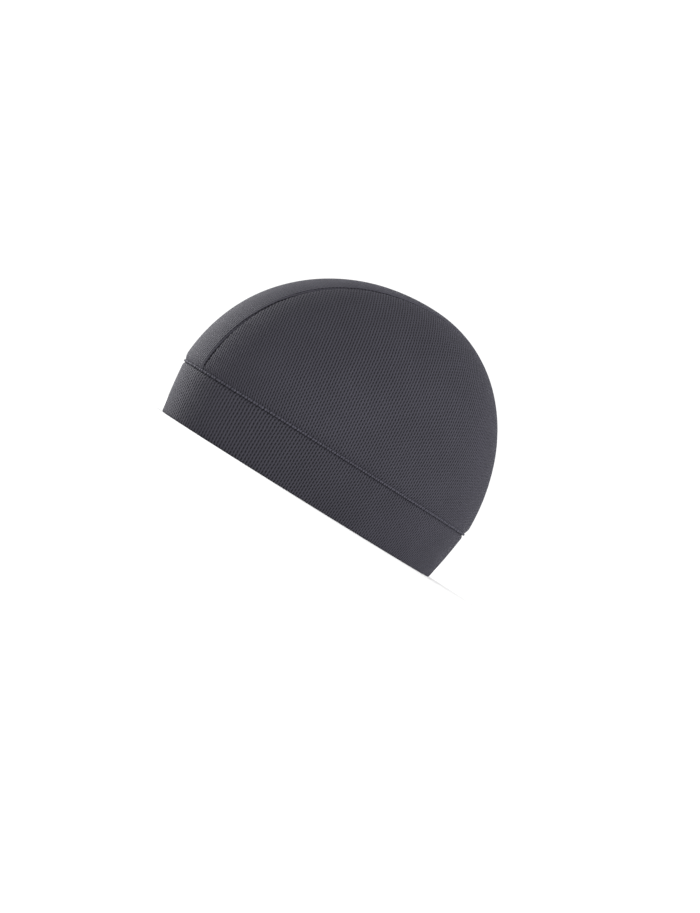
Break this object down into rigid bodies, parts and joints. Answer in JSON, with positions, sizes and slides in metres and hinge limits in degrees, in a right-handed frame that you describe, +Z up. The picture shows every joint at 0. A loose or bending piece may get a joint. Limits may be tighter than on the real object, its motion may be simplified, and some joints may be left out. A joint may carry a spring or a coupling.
{
  "type": "skull beanie",
  "caption": "Close-fitting domed skull beanie in thin mesh cloth, with a centre strip, side panels and a folded band round an open head hollow.",
  "frame": {"origin": "middle of the opening, in the plane of the headband's fold on which the cap stands", "axes": "+Z up through the crown, -X towards the forehead, +X towards the nape, -Y towards the wearer's left"},
  "size_m": [0.2114, 0.1648, 0.145],
  "materials": {
    "crown_mesh": "matte eyelet mesh jersey, charcoal grey",
    "strip_mesh": "matte eyelet mesh jersey, charcoal grey, grain along the strip",
    "band_mesh": "matte eyelet mesh jersey, folded double, charcoal grey"
  },
  "bodies": {
    "root": {"crown_centre_panel": "strip_mesh", "crown_side_panel_left": "crown_mesh", "crown_side_panel_right": "crown_mesh", "headband": "band_mesh"}
  },
  "joints": []
}
